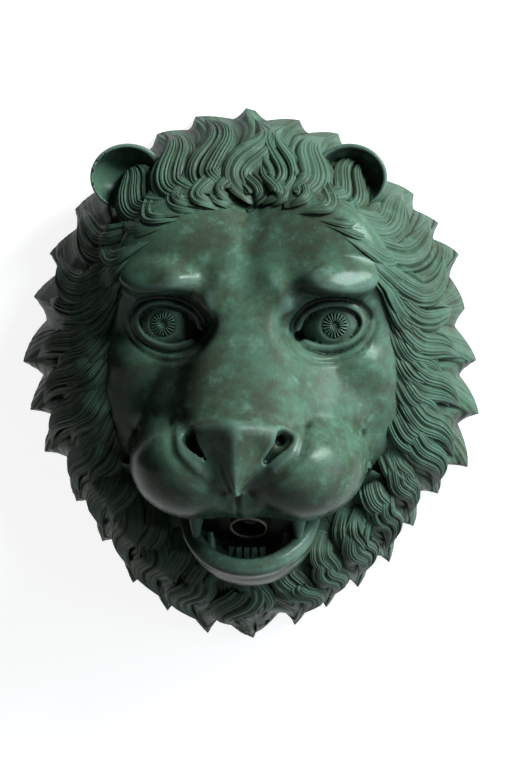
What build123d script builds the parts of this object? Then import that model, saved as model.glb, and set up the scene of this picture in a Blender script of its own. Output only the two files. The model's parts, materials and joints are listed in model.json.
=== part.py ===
from build123d import *
import math
import os

os.makedirs("parts", exist_ok=True)

# Lion head wall fountain in mm. +Z is up, the face looks along -Y and the wall is the plane Y = 0.
# The origin is the middle of the four wall bosses. A depth is measured from the wall towards the viewer.
# A bearing is measured clockwise from +Z, seen from the front.

# Mane: the bearing and reach of each lock's tip, then the depths of the body's levels
mane_tips = [
    (-2, 265), (8, 256), (17, 252), (28, 242), (39, 236), (48, 233), (57, 231), (70, 214), (84, 215),
    (98, 220), (112, 225), (122, 212), (133, 214), (144, 227), (154, 234), (163, 243), (171, 255),
    (182, 267), (192, 268), (202, 258), (212, 248), (224, 233), (236, 226), (251, 231), (262, 234),
    (274, 238), (290, 239), (301, 242), (313, 247), (327, 254), (338, 260), (347, 264),
]
notch_share = 0.91
lock_lean = 16
crown_push = 0.3
mane_rim = 12
mane_bend = 46
mane_shoulder = 76
mane_front = 104
tier_rise = 14
casting_wall = 8

# Face: its outline, squarer at the brow than at the chin, and its features
face_half_width = 132
face_half_height = 177
brow_square = 2.7
chin_square = 2
face_back = 82
face_step = 104
lip_z = -112
eye_x = 77
eye_z = 65
eye_depth = 89
eye_r = 36
lid_thickness = 6
lid_half_width = 30
lid_half_height = 17
lid_slant = 9
brow_z = 105
bridge_half_width = 42
nose_x = -4
nose_top_z = -11
nose_tip_z = -79
nose_half_width = 46
nose_keel = 222
nostril_x = 40
nostril_z = -37
nostril_depth = 205
nostril_r = 7
muzzle_front = 212

# Masses of the face: middle across, depth and height, then the three half sizes.
# The bridge's sections: height, depth of the middle, and how much wider than at the brow.
skull = (0, 30, 40, 136, 102, 164)
temple = (92, 50, 40, 50, 62, 130)
cheek = (86, 60, -4, 56, 66, 88)
cheekbone = (97, 96, 24, 32, 27, 24)
forehead = (58, 82, 116, 76, 55, 84)
brow = (72, 103, brow_z + 6, 48, 48, 28)
socket = (eye_x - 6, eye_depth + 54, eye_z + 1, 45, 35, 26)
snout_side = (53, 110, -8, 44, 46, 56)
muzzle_core = (0, muzzle_front - 92, -48, 68, 84, 54)
bridge = (
    (brow_z + 47, 44, -12), (brow_z + 7, 84, 0), (eye_z, 108, 6), (5, 138, 12), (nose_top_z - 4, 147, 15),
)
lip_pad = (47, muzzle_front - 86, -62, 64, 86, 55)

# Hollows inside the face, from the back to their ends: depth, or distance behind the muzzle's front,
# then the height of the middle and the two half sizes
skull_hollow = ((face_back, 30, 98, 130), (96, 35, 84, 112), (112, 42, 46, 70), (118, 46, 24, 40))
muzzle_hollow = ((130, -56, 96, 42), (84, -57, 88, 38), (46, -56, 70, 32), (26, -52, 36, 22))

# Lower jaw
jaw_open = 38
jaw_hinge_depth = 120
jaw_z = lip_z - 12
jaw_half_width = 64
jaw_half_height = 62
jaw_bowl = (0, 104, jaw_z, jaw_half_width, 76, jaw_half_height)
jaw_wall = 14
throat_depth = 98

# Teeth
canine_x = 48
canine_depth = 140
canine_r = 8
canine_tip_r = 3
canine_length = 22
lower_canine_x = 36
lower_canine_depth = 132
lower_canine_base = 40
incisor_count = 5
incisor_pitch = 7.2
incisor_width = 6.4
incisor_thickness = 5
incisor_length = 16
incisor_depth = 143
incisor_base = 46

# Ears
ear_r = 34
ear_wall = 5
ear_depth = 66
ear_cut = 6
left_ear_x = -121
left_ear_z = 199
left_ear_turn = 19
left_ear_droop = 5
right_ear_x = 90
right_ear_z = 199
right_ear_turn = -9
right_ear_droop = 31

# Water way
pipe_r = 17.5
pipe_wall = 1.5
feed_z = -89
bend_depth = 87
bend_r = 45
spout_tilt = 45
spout_reach = 55
feed_end = 30
tail_r = 19.6
collar_r = 21.6
collar_thickness = 3.5
collar_play = 0.3
washer_thickness = 3
nut_bore_gap = 0.08
nut_thread_r = 22.4
nut_thread_length = 12
nut_relief_r = 23
nut_flats = 58
nut_corner_cut = 3
nut_back = 3
nut_length = 25
nut_lip = 5

# Fixings
boss_x = 118
boss_z = 122
boss_r = 13
boss_hole_r = 4.25
boss_hole_length = 30
bar_thickness = 8
bar_width = 20
bar_back = 47.5
tail_to_bar = 1.5
clip_thickness = 2.5
clip_width = 12
clip_foot = 8
clip_screw_x = 32
clip_screw_r = 2.5
clip_head_r = 4.75
clip_head = 3.5


def front(depth):
    """The plane at that depth, drawn on as it is seen from the front."""
    return Plane.XZ.offset(depth)


def face_edge(bearing):
    """Distance from the middle to the edge between face and mane."""
    across = abs(math.sin(math.radians(bearing))) / face_half_width
    up = math.cos(math.radians(bearing)) / face_half_height
    power = brow_square if up > 0 else chin_square
    return (across ** power + abs(up) ** power) ** (-1 / power)


def face_line(inset):
    """Points around the edge of the face, set in from it."""
    points = []
    for bearing in range(0, 360, 12):
        r = face_edge(bearing) - inset
        points.append((r * math.sin(math.radians(bearing)), r * math.cos(math.radians(bearing))))
    return points


def mane_notches():
    """The low point between each lock tip and the next one."""
    notches = []
    for i, (bearing, reach) in enumerate(mane_tips):
        after, after_reach = mane_tips[(i + 1) % len(mane_tips)]
        if after < bearing:
            after += 360
        notches.append(((bearing + after) / 2, notch_share * (reach + after_reach) / 2))
    return notches


def mane_section(corners, share, inset):
    """Corners of one mane section, at a share of the way from the face edge to the tips.

    The crown is fuller than the sides, so there the section lies further out.
    """
    points = []
    for bearing, reach in corners:
        push = crown_push * max(0, math.cos(math.radians(bearing))) ** 1.5
        out = (share + push) / (1 + push)
        turned = bearing - lock_lean * math.sin(math.radians(bearing)) * (1 - share)
        edge = face_edge(turned)
        r = edge + (reach - edge) * out - inset
        a = math.radians(turned)
        points.append((r * math.sin(a), r * math.cos(a)))
    return points


def mass(size, side=1, more=0):
    """A rounded mass on one side of the face, or grown by a little more."""
    x, depth, z, across, deep, tall = size
    by = (across + more, deep + more, tall + more)
    return Pos(side * x, -depth, z) * scale(Sphere(1, mode=Mode.PRIVATE), by=by, mode=Mode.PRIVATE)


def ear_cup(x, z, turn, droop):
    """A thin cup whose mouth looks forward, turned sideways and down."""
    with BuildPart() as cup:
        Sphere(ear_r)
        with Locations((0, -ear_wall / 2, 0)):
            Sphere(ear_r - ear_wall, mode=Mode.SUBTRACT)
        with Locations((0, -ear_cut, 0)):
            mouth = (Align.CENTER, Align.MAX, Align.CENTER)
            Box(3 * ear_r, ear_r, 3 * ear_r, align=mouth, mode=Mode.SUBTRACT)
    return Pos(x, -ear_depth, z) * Rot(droop, 0, turn) * cup.part


def sector(start, stop):
    """Corners of a wedge between two bearings, wide enough to hold the whole mane."""
    middle = (start + stop) / 2
    wide = 3 * face_half_height
    return [(0, 0)] + [
        (wide * math.sin(math.radians(b)), wide * math.cos(math.radians(b))) for b in (start, middle, stop)
    ]


with BuildSketch() as face_outline:
    with BuildLine():
        Spline(*face_line(0), periodic=True)
    make_face()

with BuildSketch() as face_inner:
    with BuildLine():
        Spline(*face_line(casting_wall), periodic=True)
    make_face()

notch_points = mane_notches()
lock_points = []
tier_points = []
for tip, notch in zip(mane_tips, notch_points):
    lock_points += [tip, notch]
    tier_points += [(tip[0], notch_share * tip[1]), (notch[0], notch[1] / notch_share)]

body_levels = ((1, 0), (1, mane_rim), (0.72, mane_bend), (0.4, mane_shoulder), (-0.1, mane_front))
tier_levels = (
    (0.6, mane_bend - 6), (0.6, mane_bend + tier_rise), (0.36, mane_shoulder + 0.8 * tier_rise),
    (-0.1, mane_front + tier_rise / 2),
)
hollow_levels = (
    (1, 0), (0.72, mane_bend - casting_wall), (0.4, mane_shoulder - casting_wall),
    (-0.1, mane_front - casting_wall),
)

# The mane as one pleated body in two tiers, whose ridges are the locks.
with BuildPart() as mane_body:
    for share, depth in body_levels:
        with BuildSketch(front(depth)):
            Polygon(*mane_section(lock_points, share, 0), align=None)
    loft(ruled=True)
    for share, depth in tier_levels:
        with BuildSketch(front(depth)):
            Polygon(*mane_section(tier_points, share, 0), align=None)
    loft(ruled=True)

with BuildPart() as mane_hollow:
    for share, depth in hollow_levels:
        with BuildSketch(front(depth)):
            Polygon(*mane_section(notch_points, share, casting_wall), align=None)
    loft(ruled=True)

with BuildPart() as mane_shell:
    add(mane_body.part)
    add(mane_hollow.part, mode=Mode.SUBTRACT)
    with BuildSketch(front(0)):
        add(face_outline.sketch_local)
    extrude(amount=2 * mane_front, mode=Mode.SUBTRACT)

with BuildPart() as mane_crown:
    add(mane_shell.part)
    with BuildSketch(front(-1)):
        Polygon(*sector(-48, 52), align=None)
    extrude(amount=2 * mane_front, mode=Mode.INTERSECT)
mane_crown.part.label = "mane_crown"
export_step(mane_crown.part, "parts/mane_crown.step")

with BuildPart() as mane_right:
    add(mane_shell.part)
    with BuildSketch(front(-1)):
        Polygon(*sector(52, 138), align=None)
    extrude(amount=2 * mane_front, mode=Mode.INTERSECT)
mane_right.part.label = "mane_right"
export_step(mane_right.part, "parts/mane_right.step")

with BuildPart() as mane_beard:
    add(mane_shell.part)
    with BuildSketch(front(-1)):
        Polygon(*sector(138, 222), align=None)
    extrude(amount=2 * mane_front, mode=Mode.INTERSECT)
mane_beard.part.label = "mane_beard"
export_step(mane_beard.part, "parts/mane_beard.step")

with BuildPart() as mane_left:
    add(mane_shell.part)
    with BuildSketch(front(-1)):
        Polygon(*sector(222, 312), align=None)
    extrude(amount=2 * mane_front, mode=Mode.INTERSECT)
mane_left.part.label = "mane_left"
export_step(mane_left.part, "parts/mane_left.step")

# The spout pipe runs forward from the wall, then bends down to its outlet between the jaws.
tilt = math.radians(spout_tilt)
bend_tangent = bend_r * math.tan(tilt / 2)
outlet_depth = bend_depth + spout_reach * math.cos(tilt)
outlet_z = feed_z - spout_reach * math.sin(tilt)

with BuildLine(Plane.YZ) as pipe_path:
    FilletPolyline((-feed_end, feed_z), (-bend_depth, feed_z), (-outlet_depth, outlet_z), radius=bend_r)

with BuildPart() as pipe_core:
    with BuildSketch(front(feed_end)):
        with Locations((0, feed_z)):
            Circle(pipe_r)
    sweep(path=pipe_path.line)

with BuildPart() as spout_pipe:
    with BuildSketch(front(feed_end)):
        with Locations((0, feed_z)):
            Circle(pipe_r)
            Circle(pipe_r - pipe_wall, mode=Mode.SUBTRACT)
    sweep(path=pipe_path.line)
spout_pipe.part.label = "spout_pipe"
export_step(spout_pipe.part, "parts/spout_pipe.step")

# The face is a set of rounded masses in one casting, hollowed from behind and seated in the mane's opening.
with BuildPart() as face_hollow:
    with BuildSketch(front(0)):
        add(face_inner.sketch_local)
    extrude(amount=face_step - casting_wall)
    for depth, z, across, tall in skull_hollow:
        with BuildSketch(front(depth)):
            with Locations((0, z)):
                Ellipse(across, tall)
    loft(ruled=True)
    for back, z, across, tall in muzzle_hollow:
        with BuildSketch(front(muzzle_front - back)):
            with Locations((0, z)):
                Ellipse(across, tall)
    loft(ruled=True)

with BuildPart() as face_mask:
    with BuildSketch(front(face_back)):
        add(face_outline.sketch_local)
    extrude(amount=face_step - face_back)
    add(mass(skull))
    add(mass(muzzle_core))
    for side in (-1, 1):
        add(mass(temple, side))
        add(mass(cheek, side))
        add(mass(forehead, side))
        add(mass(snout_side, side))
        add(mass(lip_pad, side))
    # The bridge widens and comes forward from the brow to the nose.
    for z, depth, wider in bridge:
        with BuildSketch(Plane.XY.offset(z)):
            with Locations((nose_x * max(0, wider) / 15, -depth)):
                Ellipse(bridge_half_width + wider, 55)
    loft()
    # Brow, socket, lids and eyeball
    for side in (-1, 1):
        add(mass(brow, side))
        add(mass(cheekbone, side))
        add(mass(socket, side), mode=Mode.SUBTRACT)
        with Locations((side * eye_x, -eye_depth, eye_z)):
            Sphere(eye_r + lid_thickness)
        with BuildSketch(front(eye_depth)):
            with Locations(Pos(side * eye_x, eye_z) * Rot(0, 0, side * lid_slant)):
                Ellipse(lid_half_width, lid_half_height)
        extrude(amount=2 * eye_r, mode=Mode.SUBTRACT)
        with Locations((side * eye_x, -eye_depth, eye_z)):
            Sphere(eye_r)
    with Locations((0, -122, lip_z + 6)):
        Box(124, 92, 12)
    with BuildSketch(front(face_back)):
        add(face_outline.sketch_local)
        with Locations((0, lip_z)):
            below = (Align.CENTER, Align.MAX)
            Rectangle(4 * face_half_width, face_half_height, align=below, mode=Mode.SUBTRACT)
    extrude(amount=2 * muzzle_front, mode=Mode.INTERSECT)
    add(face_hollow.part, mode=Mode.SUBTRACT)
    # The nose pad has two flat sides that meet in a keel and draw in to its tip.
    for z, half_width, wing_back, keel_back in (
        (nose_top_z, nose_half_width - 6, 23, 10), (nose_top_z - 16, nose_half_width, 20, 3),
        (nose_top_z - 34, nose_half_width - 16, 13, 0), (nose_tip_z, nose_half_width - 40, 11, 5),
    ):
        with BuildSketch(Plane.XY.offset(z)):
            with Locations((nose_x, -nose_keel)):
                Polygon(
                    (-half_width, 60), (half_width, 60), (half_width, wing_back), (0, keel_back),
                    (-half_width, wing_back), align=None,
                )
    loft(ruled=True)
    for side in (-1, 1):
        with Locations((nose_x + side * nostril_x, -nostril_depth, nostril_z)):
            Sphere(nostril_r, mode=Mode.SUBTRACT)
    add(pipe_core.part, mode=Mode.SUBTRACT)
face_mask.part.label = "face_mask"
export_step(face_mask.part, "parts/face_mask.step")

# The lower jaw is a scooped bowl, cut along the slope of the open mouth, with the wall behind the mouth.
with BuildPart() as lower_jaw:
    add(mass(jaw_bowl))
    with Locations(Pos(0, -jaw_hinge_depth, jaw_z) * Rot(jaw_open, 0, 0)):
        Box(400, 400, 200, align=(Align.CENTER, Align.CENTER, Align.MIN), mode=Mode.SUBTRACT)
    add(mass(jaw_bowl, more=-jaw_wall), mode=Mode.SUBTRACT)
    with BuildSketch(front(throat_depth)):
        with Locations((0, jaw_z + 4)):
            Ellipse(jaw_half_width - 6, jaw_half_height - 8)
    extrude(amount=casting_wall)
    with BuildSketch(front(face_back)):
        add(face_outline.sketch_local)
    extrude(amount=face_step - face_back)
    with BuildSketch(front(0)):
        add(face_inner.sketch_local)
    extrude(amount=face_step - casting_wall, mode=Mode.SUBTRACT)
    with BuildSketch(front(face_back)):
        add(face_outline.sketch_local)
        with Locations((0, lip_z)):
            above = (Align.CENTER, Align.MIN)
            Rectangle(4 * face_half_width, 2 * face_half_height, align=above, mode=Mode.SUBTRACT)
    extrude(amount=2 * muzzle_front, mode=Mode.INTERSECT)
    add(pipe_core.part, mode=Mode.SUBTRACT)
lower_jaw.part.label = "lower_jaw"
export_step(lower_jaw.part, "parts/lower_jaw.step")

# Ears, each a cup seated on the mane.
left_cup = ear_cup(left_ear_x, left_ear_z, left_ear_turn, left_ear_droop)
right_cup = ear_cup(right_ear_x, right_ear_z, right_ear_turn, right_ear_droop)

with BuildPart() as left_ear:
    add(left_cup)
    add(mane_body.part, mode=Mode.SUBTRACT)
left_ear.part.label = "left_ear"
export_step(left_ear.part, "parts/left_ear.step")

with BuildPart() as right_ear:
    add(right_cup)
    add(mane_body.part, mode=Mode.SUBTRACT)
right_ear.part.label = "right_ear"
export_step(right_ear.part, "parts/right_ear.step")

# Teeth
with BuildPart() as upper_canines:
    for side in (-1, 1):
        with Locations(Pos(side * canine_x, -canine_depth, lip_z) * Rot(180, 0, 0)):
            Cone(canine_r, canine_tip_r, canine_length, align=(Align.CENTER, Align.CENTER, Align.MIN))
upper_canines.part.label = "upper_canines"
export_step(upper_canines.part, "parts/upper_canines.step")

with BuildPart() as lower_canines:
    for side in (-1, 1):
        with Locations((side * lower_canine_x, -lower_canine_depth, lip_z - lower_canine_base)):
            Cone(canine_r, canine_tip_r, canine_length, align=(Align.CENTER, Align.CENTER, Align.MIN))
    add(lower_jaw.part, mode=Mode.SUBTRACT)
lower_canines.part.label = "lower_canines"
export_step(lower_canines.part, "parts/lower_canines.step")

with BuildPart() as lower_incisors:
    for i in range(incisor_count):
        x = (i - (incisor_count - 1) / 2) * incisor_pitch
        with BuildSketch(Plane.XY.offset(lip_z - incisor_base)):
            with Locations((x, -incisor_depth + 0.012 * x * x)):
                Rectangle(incisor_width, incisor_thickness)
    extrude(amount=incisor_length, taper=3)
    add(lower_jaw.part, mode=Mode.SUBTRACT)
lower_incisors.part.label = "lower_incisors"
export_step(lower_incisors.part, "parts/lower_incisors.step")

# Union at the feed end: a tail soldered on the pipe, a fibre washer and a nut that turns behind the collar.
collar_front = nut_back + nut_length - nut_lip - collar_play
collar_back = collar_front - collar_thickness
washer_back = collar_back - washer_thickness
tail_front = bar_back - tail_to_bar

with BuildPart() as union_tail:
    with BuildSketch(front(collar_front)):
        with Locations((0, feed_z)):
            Circle(tail_r)
    extrude(amount=tail_front - collar_front)
    with BuildSketch(front(collar_back)):
        with Locations((0, feed_z)):
            Circle(collar_r)
    extrude(amount=collar_front - collar_back)
    with BuildSketch(front(collar_back)):
        with Locations((0, feed_z)):
            Circle(pipe_r - pipe_wall)
    extrude(amount=tail_front, mode=Mode.SUBTRACT)
    with BuildSketch(front(feed_end)):
        with Locations((0, feed_z)):
            Circle(pipe_r)
    extrude(amount=tail_front, mode=Mode.SUBTRACT)
union_tail.part.label = "union_tail"
export_step(union_tail.part, "parts/union_tail.step")

with BuildPart() as union_washer:
    with BuildSketch(front(washer_back)):
        with Locations((0, feed_z)):
            Circle(collar_r)
            Circle(pipe_r - pipe_wall, mode=Mode.SUBTRACT)
    extrude(amount=collar_back - washer_back)
union_washer.part.label = "union_washer"
export_step(union_washer.part, "parts/union_washer.step")

with BuildPart() as union_nut:
    with BuildSketch(front(nut_back)):
        with Locations((0, feed_z)):
            RegularPolygon(nut_flats / 2, 6, major_radius=False)
    extrude(amount=nut_length)
    with BuildSketch(front(nut_back)):
        with Locations((0, feed_z)):
            Circle(nut_flats / 2 + nut_corner_cut)
    extrude(amount=nut_length, mode=Mode.INTERSECT)
    with BuildSketch(front(nut_back)):
        with Locations((0, feed_z)):
            Circle(nut_thread_r)
    extrude(amount=nut_thread_length, mode=Mode.SUBTRACT)
    with BuildSketch(front(nut_back + nut_thread_length)):
        with Locations((0, feed_z)):
            Circle(nut_relief_r)
    extrude(amount=nut_length - nut_lip - nut_thread_length, mode=Mode.SUBTRACT)
    with BuildSketch(front(nut_back)):
        with Locations((0, feed_z)):
            Circle(tail_r + nut_bore_gap)
    extrude(amount=nut_length, mode=Mode.SUBTRACT)
union_nut.part.label = "union_nut"
export_step(union_nut.part, "parts/union_nut.step")

# Cross bar that carries the pipe, let into the hollow of the mane, and the clip that holds the pipe to it.
bar_z = feed_z + pipe_r
clip_back = bar_back + (bar_width - clip_width) / 2
screw_depth = bar_back + bar_width / 2

with BuildPart() as cross_bar:
    with BuildSketch(front(bar_back)):
        with Locations((0, bar_z)):
            Rectangle(4 * face_half_width, bar_thickness, align=(Align.CENTER, Align.MIN))
    extrude(amount=bar_width)
    add(mane_hollow.part, mode=Mode.INTERSECT)
    with Locations((-clip_screw_x, -screw_depth, bar_z), (clip_screw_x, -screw_depth, bar_z)):
        Cylinder(clip_screw_r, 3 * bar_thickness, mode=Mode.SUBTRACT)
cross_bar.part.label = "cross_bar"
export_step(cross_bar.part, "parts/cross_bar.step")

with BuildPart() as pipe_clip:
    with BuildSketch(front(clip_back)):
        with Locations((0, feed_z)):
            Circle(pipe_r + clip_thickness)
            Rectangle(2 * (pipe_r + clip_thickness), pipe_r, align=(Align.CENTER, Align.MIN))
        with Locations((0, bar_z)):
            Rectangle(2 * (clip_screw_x + clip_foot), clip_thickness, align=(Align.CENTER, Align.MAX))
        with Locations((0, bar_z)):
            Rectangle(4 * pipe_r, pipe_r, align=(Align.CENTER, Align.MIN), mode=Mode.SUBTRACT)
        with Locations((0, feed_z)):
            Circle(pipe_r, mode=Mode.SUBTRACT)
            Rectangle(2 * pipe_r, 2 * pipe_r, align=(Align.CENTER, Align.MIN), mode=Mode.SUBTRACT)
    extrude(amount=clip_width)
    with Locations((-clip_screw_x, -screw_depth, bar_z), (clip_screw_x, -screw_depth, bar_z)):
        Cylinder(clip_screw_r, 3 * bar_thickness, mode=Mode.SUBTRACT)
pipe_clip.part.label = "pipe_clip"
export_step(pipe_clip.part, "parts/pipe_clip.step")

with BuildPart() as clip_screws:
    for x in (-clip_screw_x, clip_screw_x):
        with Locations((x, -screw_depth, bar_z - clip_thickness)):
            Cylinder(clip_head_r, clip_head, align=(Align.CENTER, Align.CENTER, Align.MAX))
            up = (Align.CENTER, Align.CENTER, Align.MIN)
            Cylinder(clip_screw_r, clip_thickness + bar_thickness, align=up)
clip_screws.part.label = "clip_screws"
export_step(clip_screws.part, "parts/clip_screws.step")

# Wall bosses, which end on the inside of the mane and take the wall studs.
with BuildPart() as wall_bosses:
    with BuildSketch(front(0)):
        with GridLocations(2 * boss_x, 2 * boss_z, 2, 2):
            Circle(boss_r)
    extrude(amount=face_back)
    add(mane_hollow.part, mode=Mode.INTERSECT)
    with BuildSketch(front(0)):
        with GridLocations(2 * boss_x, 2 * boss_z, 2, 2):
            Circle(boss_hole_r)
    extrude(amount=boss_hole_length, mode=Mode.SUBTRACT)
wall_bosses.part.label = "wall_bosses"
export_step(wall_bosses.part, "parts/wall_bosses.step")
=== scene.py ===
import json
import math

import bpy
import numpy as np
from mathutils import Matrix, Vector


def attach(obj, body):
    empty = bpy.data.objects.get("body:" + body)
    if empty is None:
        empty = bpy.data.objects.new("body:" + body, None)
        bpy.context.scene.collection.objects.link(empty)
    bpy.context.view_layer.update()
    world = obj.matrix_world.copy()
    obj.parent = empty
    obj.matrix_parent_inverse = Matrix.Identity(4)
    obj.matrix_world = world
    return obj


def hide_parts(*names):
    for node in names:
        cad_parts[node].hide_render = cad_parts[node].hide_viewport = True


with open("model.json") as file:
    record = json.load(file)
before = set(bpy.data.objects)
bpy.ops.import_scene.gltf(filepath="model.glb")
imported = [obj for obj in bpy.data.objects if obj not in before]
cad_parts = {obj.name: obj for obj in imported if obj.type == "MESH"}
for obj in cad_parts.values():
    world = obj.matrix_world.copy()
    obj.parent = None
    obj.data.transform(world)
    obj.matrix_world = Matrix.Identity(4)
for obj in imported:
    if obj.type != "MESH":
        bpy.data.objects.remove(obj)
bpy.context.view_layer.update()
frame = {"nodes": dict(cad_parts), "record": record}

# Sculpting works in millimetres as (across, depth, height), where depth is the distance from the wall.
# A part of a mesh is its vertices, its quads, its end faces and how hollow each vertex lies, which the
# patina paints dark as patina and painted shade.
MM = 0.001
TINY = 1e-6
fold_shift = 0.4
rng = np.random.default_rng(seed=11)


# Distance fields

def smooth_min(a, b, seam):
    """The nearer of two fields, with a soft seam between them."""
    h = np.clip((seam - np.abs(a - b)) / seam, 0, None)
    return np.minimum(a, b) - h * h * seam / 4


def smooth_max(a, b, seam):
    return -smooth_min(-a, -b, seam)


def ellipsoid(p, centre, radii):
    q = p - np.array(centre)
    r = np.array(radii, float)
    a = np.sqrt(((q / r) ** 2).sum(1))
    b = np.sqrt(((q / (r * r)) ** 2).sum(1))
    return a * (a - 1) / np.maximum(b, TINY)


def leaning(p, centre, radii, lean):
    """An ellipsoid turned by lean degrees in the front view, its outer end down."""
    q = p - np.array(centre)
    c, s = math.cos(math.radians(lean)), math.sin(math.radians(lean))
    turned = np.stack([q[:, 0] * c - q[:, 2] * s, q[:, 1], q[:, 0] * s + q[:, 2] * c], 1)
    return ellipsoid(turned, (0, 0, 0), radii)


def cone(p, a, b, ra, rb, across=1.0):
    """A rod from a to b whose radius runs from ra to rb, widened across by a factor."""
    q = p.copy()
    q[:, 0] = q[:, 0] / across
    a, b = np.array(a, float), np.array(b, float)
    a[0], b[0] = a[0] / across, b[0] / across
    axis = b - a
    t = np.clip((q - a) @ axis / (axis @ axis), 0, 1)
    return np.sqrt(((q - a - t[:, None] * axis) ** 2).sum(1)) - (ra + t * (rb - ra))


def beyond(p, at, way):
    """How far points lie past a plane through one point, along its direction."""
    return sum(w * (p[:, i] - a) for i, (a, w) in enumerate(zip(at, way)))


def swell(f, p, centre, radii, seam):
    """Adds an ellipsoid to a field."""
    return smooth_min(f, ellipsoid(p, centre, radii), seam)


def scoop(f, p, centre, radii, seam):
    """Takes an ellipsoid out of a field."""
    return smooth_max(f, -ellipsoid(p, centre, radii), seam)


def mirrored(p):
    m = p.copy()
    m[:, 0] = np.abs(m[:, 0])
    return m


def softened(p, soft):
    """Mirrored across the middle, with the fold there rounded off."""
    m = p.copy()
    m[:, 0] = np.sqrt(m[:, 0] ** 2 + soft * soft) - fold_shift * soft
    return m


def stroke(m, height, width, line):
    """A soft ridge along a line in the front view, or a groove where the height is below zero."""
    x, z = m[:, 0], m[:, 2]
    best = np.full(len(m), np.inf)
    for (x0, z0), (x1, z1) in zip(line, line[1:]):
        dx, dz = x1 - x0, z1 - z0
        t = np.clip(((x - x0) * dx + (z - z0) * dz) / (dx * dx + dz * dz), 0, 1)
        best = np.minimum(best, (x - x0 - t * dx) ** 2 + (z - z0 - t * dz) ** 2)
    return height * np.exp(-best / (width * width))


# Meshes from fields

probe_step, least_slope, longest_move = 0.25, 0.2, 2.0
# Rounds of smoothing, and the height that counts as a full ridge or hollow after them
cavity_scales = ((3, 0.35), (12, 0.9))


def surface_net(field, low, high, step):
    """Quads on the zero surface of a field, one vertex for each cell that the surface crosses."""
    axes = [np.arange(a, b + step, step) for a, b in zip(low, high)]
    shape = tuple(len(a) for a in axes)
    grid = np.stack(np.meshgrid(*axes, indexing="ij"), -1).reshape(-1, 3)
    f = field(grid).reshape(shape)
    cells = tuple(n - 1 for n in shape)
    total = np.zeros(cells + (3,))
    count = np.zeros(cells)
    index = np.indices(shape).astype(float)
    crossings = []
    for axis in range(3):
        near = [slice(None)] * 3
        far = [slice(None)] * 3
        near[axis], far[axis] = slice(0, -1), slice(1, None)
        a, b = f[tuple(near)], f[tuple(far)]
        crossed = (a < 0) != (b < 0)
        t = np.where(crossed, a / np.where(crossed, a - b, 1), 0)
        place = [index[i][tuple(near)] for i in range(3)]
        place[axis] = place[axis] + t
        u, w = (axis + 1) % 3, (axis + 2) % 3
        for du in (0, 1):
            for dw in (0, 1):
                part = [slice(None)] * 3
                part[u] = slice(du, du + cells[u])
                part[w] = slice(dw, dw + cells[w])
                part = tuple(part)
                count += crossed[part]
                for i in range(3):
                    total[..., i] += place[i][part] * crossed[part]
        crossings.append((u, w, crossed, a))
    used = count > 0
    ids = np.full(cells, -1)
    ids[used] = np.arange(used.sum())
    verts = total[used] / count[used][:, None] * step + np.array(low, float)
    quads = []
    for u, w, crossed, a in crossings:
        where = np.argwhere(crossed)
        keep = np.ones(len(where), bool)
        for other in (u, w):
            keep &= (where[:, other] > 0) & (where[:, other] < shape[other] - 1)
        where = where[keep]
        corners = []
        for du, dw in ((-1, -1), (0, -1), (0, 0), (-1, 0)):
            at = where.copy()
            at[:, u] += du
            at[:, w] += dw
            corners.append(ids[at[:, 0], at[:, 1], at[:, 2]])
        quad = np.stack(corners, 1)
        inward = a[where[:, 0], where[:, 1], where[:, 2]] >= 0
        quad[inward] = quad[inward][:, ::-1]
        quads.append(quad)
    return verts, np.concatenate(quads)


def edge_table(quads, n):
    """Each edge once, as a pair of vertices, and the edges that each quad has."""
    pairs = np.sort(np.stack([quads, np.roll(quads, -1, 1)], -1).reshape(-1, 2), 1)
    keys, back = np.unique(pairs[:, 0] * n + pairs[:, 1], return_inverse=True)
    return np.stack([keys // n, keys % n], 1), back.reshape(quads.shape)


def subdivide(verts, quads):
    n = len(verts)
    edges, back = edge_table(quads, n)
    middle = n + back
    centre = n + len(edges) + np.arange(len(quads))
    parts = [np.stack([quads[:, i], middle[:, i], centre, middle[:, i - 1]], 1) for i in range(4)]
    points = np.concatenate([verts, verts[edges].mean(1), verts[quads].mean(1)])
    return points, np.concatenate(parts)


def neighbour_mean(values, edges, n):
    total = np.zeros((n, values.shape[1]))
    for k in range(values.shape[1]):
        total[:, k] = np.bincount(edges[:, 0], values[edges[:, 1], k], n)
        total[:, k] += np.bincount(edges[:, 1], values[edges[:, 0], k], n)
    degree = np.bincount(edges.ravel(), minlength=n)
    return total / np.maximum(degree, 1)[:, None]


def settle(verts, quads, field, rounds, ease):
    """Evens out the vertices and pulls them onto the field's surface."""
    edges, _ = edge_table(quads, len(verts))
    probes = probe_step * np.eye(3)
    for _ in range(rounds):
        if ease:
            verts = verts + ease * (neighbour_mean(verts, edges, len(verts)) - verts)
        f = field(verts)
        slope = np.stack([(field(verts + probe) - f) / probe_step for probe in probes], 1)
        steep = np.maximum((slope ** 2).sum(1), least_slope)
        move = -(f / steep)[:, None] * slope
        length = np.sqrt((move ** 2).sum(1))
        move *= np.minimum(1, longest_move / np.maximum(length, TINY))[:, None]
        verts = verts + move
    return verts


def cavity(verts, quads):
    """0 on ridges, 0.5 on plain forms, 1 in hollows, from how each vertex lies among its neighbours; the
    patina paints hollows dark as patina and painted shade.
    """
    n = len(verts)
    edges, _ = edge_table(quads, n)
    a, b, c, d = (verts[quads[:, i]] for i in range(4))
    facing = np.cross(c - a, d - b)
    normal = np.stack([np.bincount(quads.ravel(), np.repeat(facing[:, k], 4), n) for k in range(3)], 1)
    normal /= np.maximum(np.linalg.norm(normal, axis=1), TINY)[:, None]
    value = np.zeros(n)
    smooth = verts
    for rounds, full in cavity_scales:
        for _ in range(rounds):
            smooth = neighbour_mean(smooth, edges, n)
        value += np.clip(((smooth - verts) * normal).sum(1) / full, -1, 1) / 2
    for _ in range(2):
        value = neighbour_mean(value[:, None], edges, n)[:, 0]
    return 0.5 + 0.5 * value


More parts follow.
